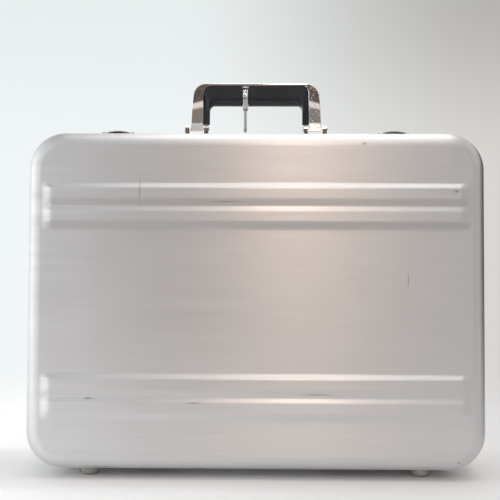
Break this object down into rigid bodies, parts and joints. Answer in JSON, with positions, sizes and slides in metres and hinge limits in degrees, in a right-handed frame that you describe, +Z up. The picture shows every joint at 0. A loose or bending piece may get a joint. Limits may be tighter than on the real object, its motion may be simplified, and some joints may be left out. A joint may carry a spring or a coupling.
{
  "type": "aluminium attache case",
  "caption": "Hard aluminium attache case: two ribbed, drawn pans on rails, hinged below, latched on top, with a folding U handle, feet and a luggage tag.",
  "frame": {"origin": "centre of the case's thickness and width, on the plane of the four feet's soles", "axes": "+X along the width, +Y from the lid towards the base, +Z up from the feet to the handle"},
  "size_m": [0.46, 0.128, 0.4043],
  "materials": {
    "shell": "brushed, satin",
    "rail": "extruded, bright anodised",
    "lining": "woven, over thin board",
    "rubber": "matt",
    "steel": "plated, satin",
    "chrome": "polished",
    "lock_metal": "satin plated",
    "brass": "turned",
    "grip": "semi-gloss moulded",
    "tag_metal": "satin",
    "clear": "clear moulded"
  },
  "bodies": {
    "base": {"base_shell": "shell", "base_frame": "rail", "gasket": "rubber", "base_lining": "lining", "feet_base": "rubber", "foot_screws_base": "steel", "hinge_leaves_base": "steel", "hinge_rivets_base": "steel", "hinge_pin_left": "steel", "hinge_pin_right": "steel", "stay_bracket_base_left": "steel", "stay_bracket_base_right": "steel", "handle_bracket_left": "chrome", "handle_bracket_right": "chrome", "handle_pins": "steel", "handle_screws": "steel", "lock_body_left": "lock_metal", "lock_body_right": "lock_metal", "latch_rivets_base": "steel"},
    "lid": {"lid_shell": "shell", "lid_frame": "rail", "lid_lining": "lining", "feet_lid": "rubber", "foot_screws_lid": "steel", "hinge_leaves_lid": "steel", "hinge_rivets_lid": "steel", "stay_bracket_lid_left": "steel", "stay_bracket_lid_right": "steel", "hasp_bracket_left": "chrome", "hasp_bracket_right": "chrome", "hasp_pin_left": "steel", "hasp_pin_right": "steel", "latch_rivets_lid": "steel"},
    "handle": {"handle_frame": "chrome", "handle_grip": "grip"},
    "tag": {"tag_strap": "chrome", "tag_plate": "tag_metal", "tag_covers": "clear", "tag_rivets": "steel"},
    "stay_lower_left": {"stay_lower_left": "steel"},
    "stay_upper_left": {"stay_upper_left": "steel"},
    "hasp_left": {"hasp_left": "chrome"},
    "lock_slider_left": {"lock_slider_left": "lock_metal"},
    "key_cylinder_left": {"key_cylinder_left": "brass"},
    "stay_lower_right": {"stay_lower_right": "steel"},
    "stay_upper_right": {"stay_upper_right": "steel"},
    "hasp_right": {"hasp_right": "chrome"},
    "lock_slider_right": {"lock_slider_right": "lock_metal"},
    "key_cylinder_right": {"key_cylinder_right": "brass"}
  },
  "joints": [
    {"name": "lid_hinge", "type": "hinge", "parent": "base", "child": "lid", "pos_m": [0, -0.00605, 0.0033], "axis": [1, 0, 0], "range_deg": [0, 95]},
    {"name": "handle_fold", "type": "hinge", "parent": "base", "child": "handle", "pos_m": [0, 0.00795, 0.3568], "axis": [1, 0, 0], "range_deg": [-80, 80]},
    {"name": "tag_swing", "type": "hinge", "parent": "handle", "child": "tag", "pos_m": [-0.0113, 0.00795, 0.3918], "axis": [1, 0, 0], "range_deg": [-8, 8]},
    {"name": "stay_lower_left_turn", "type": "hinge", "parent": "base", "child": "stay_lower_left", "pos_m": [-0.222, 0.01395, 0.0633], "axis": [1, 0, 0], "range_deg": [0, 95]},
    {"name": "stay_upper_left_turn", "type": "hinge", "parent": "lid", "child": "stay_upper_left", "pos_m": [-0.222, -0.02605, 0.0633], "axis": [1, 0, 0], "range_deg": [-95, 0]},
    {"name": "hasp_left_lift", "type": "hinge", "parent": "lid", "child": "hasp_left", "pos_m": [-0.1441, -0.01105, 0.3484], "axis": [1, 0, 0], "range_deg": [0, 100]},
    {"name": "slider_left_push", "type": "slide", "parent": "base", "child": "lock_slider_left", "axis": [-1, 0, 0], "range_m": [0, 0.005], "stiffness_N_per_m": 300},
    {"name": "key_left_turn", "type": "hinge", "parent": "base", "child": "key_cylinder_left", "pos_m": [-0.1531, 0.02145, 0.3475], "axis": [0, 0, 1], "range_deg": [0, 90]},
    {"name": "stay_lower_right_turn", "type": "hinge", "parent": "base", "child": "stay_lower_right", "pos_m": [0.222, 0.01395, 0.0633], "axis": [1, 0, 0], "range_deg": [0, 95]},
    {"name": "stay_upper_right_turn", "type": "hinge", "parent": "lid", "child": "stay_upper_right", "pos_m": [0.222, -0.02605, 0.0633], "axis": [1, 0, 0], "range_deg": [-95, 0]},
    {"name": "hasp_right_lift", "type": "hinge", "parent": "lid", "child": "hasp_right", "pos_m": [0.1441, -0.01105, 0.3484], "axis": [1, 0, 0], "range_deg": [0, 100]},
    {"name": "slider_right_push", "type": "slide", "parent": "base", "child": "lock_slider_right", "axis": [1, 0, 0], "range_m": [0, 0.005], "stiffness_N_per_m": 300},
    {"name": "key_right_turn", "type": "hinge", "parent": "base", "child": "key_cylinder_right", "pos_m": [0.1531, 0.02145, 0.3475], "axis": [0, 0, 1], "range_deg": [0, 90]}
  ],
  "couplings": [
    {"joint": "tag_swing", "follows": "handle_fold", "ratio": 0.1},
    {"joint": "stay_lower_left_turn", "follows": "lid_hinge", "ratio": 1},
    {"joint": "stay_upper_left_turn", "follows": "lid_hinge", "ratio": -1},
    {"joint": "stay_lower_right_turn", "follows": "lid_hinge", "ratio": 1},
    {"joint": "stay_upper_right_turn", "follows": "lid_hinge", "ratio": -1}
  ]
}
